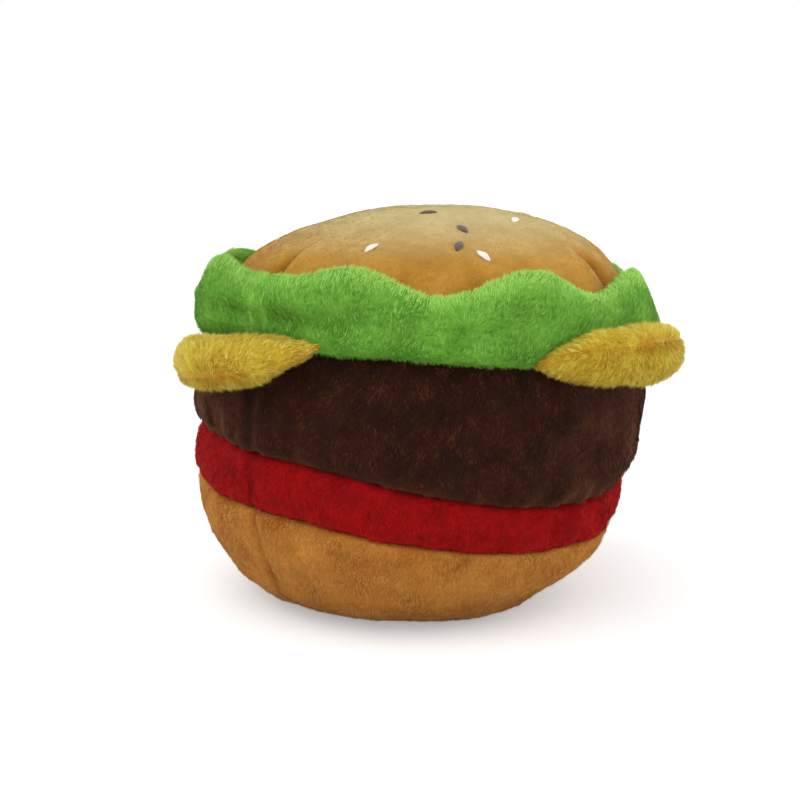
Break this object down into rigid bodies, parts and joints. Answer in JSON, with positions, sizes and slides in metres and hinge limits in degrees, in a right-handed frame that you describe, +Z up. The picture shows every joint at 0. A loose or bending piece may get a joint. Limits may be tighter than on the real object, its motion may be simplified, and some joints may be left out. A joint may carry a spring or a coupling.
{
  "type": "plush hamburger toy",
  "caption": "Stuffed pile-cloth hamburger: domed seeded bun, wavy lettuce collar, folding cheese corners, patty, tomato and heel bands on a flat base.",
  "frame": {"origin": "centre of the base panel on the surface it stands on", "axes": "+Z up through the crown, -Y toward the front, +X to the viewer's right"},
  "size_m": [0.1148, 0.1148, 0.096],
  "materials": {
    "crown_plush": "matte",
    "bun_plush": "matte",
    "lettuce_plush": "matte",
    "cheese_plush": "matte",
    "patty_plush": "matte",
    "tomato_plush": "matte",
    "white_thread": "satin",
    "dark_thread": "satin",
    "fibre_fill": "matte"
  },
  "bodies": {
    "burger": {"stuffing": "fibre_fill", "base_panel": "bun_plush", "heel_band": "bun_plush", "tomato_band": "tomato_plush", "patty_band": "patty_plush", "lettuce_collar": "lettuce_plush", "crown": "crown_plush", "white_seeds": "white_thread", "dark_seeds": "dark_thread"},
    "cheese_front_left": {"cheese_fl_upper": "cheese_plush", "cheese_fl_lower": "cheese_plush", "cheese_fl_filling": "fibre_fill"},
    "cheese_front_right": {"cheese_fr_upper": "cheese_plush", "cheese_fr_lower": "cheese_plush", "cheese_fr_filling": "fibre_fill"},
    "cheese_back_right": {"cheese_br_upper": "cheese_plush", "cheese_br_lower": "cheese_plush", "cheese_br_filling": "fibre_fill"},
    "cheese_back_left": {"cheese_bl_upper": "cheese_plush", "cheese_bl_lower": "cheese_plush", "cheese_bl_filling": "fibre_fill"}
  },
  "joints": [
    {"name": "cheese_front_left_fold", "type": "hinge", "parent": "burger", "child": "cheese_front_left", "pos_m": [-0.03712, -0.03342, 0.065], "axis": [-0.6691, 0.7431, 0], "range_deg": [-8, 34], "stiffness_Nm_per_rad": 0.004},
    {"name": "cheese_front_right_fold", "type": "hinge", "parent": "burger", "child": "cheese_front_right", "pos_m": [0.03769, -0.03277, 0.065], "axis": [-0.6561, -0.7547, 0], "range_deg": [-32, 10], "stiffness_Nm_per_rad": 0.004},
    {"name": "cheese_back_right_fold", "type": "hinge", "parent": "burger", "child": "cheese_back_right", "pos_m": [0.03653, 0.03406, 0.065], "axis": [0.682, -0.7314, 0], "range_deg": [-26, 16], "stiffness_Nm_per_rad": 0.004},
    {"name": "cheese_back_left_fold", "type": "hinge", "parent": "burger", "child": "cheese_back_left", "pos_m": [-0.03532, 0.03532, 0.065], "axis": [0.7071, 0.7071, 0], "range_deg": [-17, 25], "stiffness_Nm_per_rad": 0.004}
  ]
}
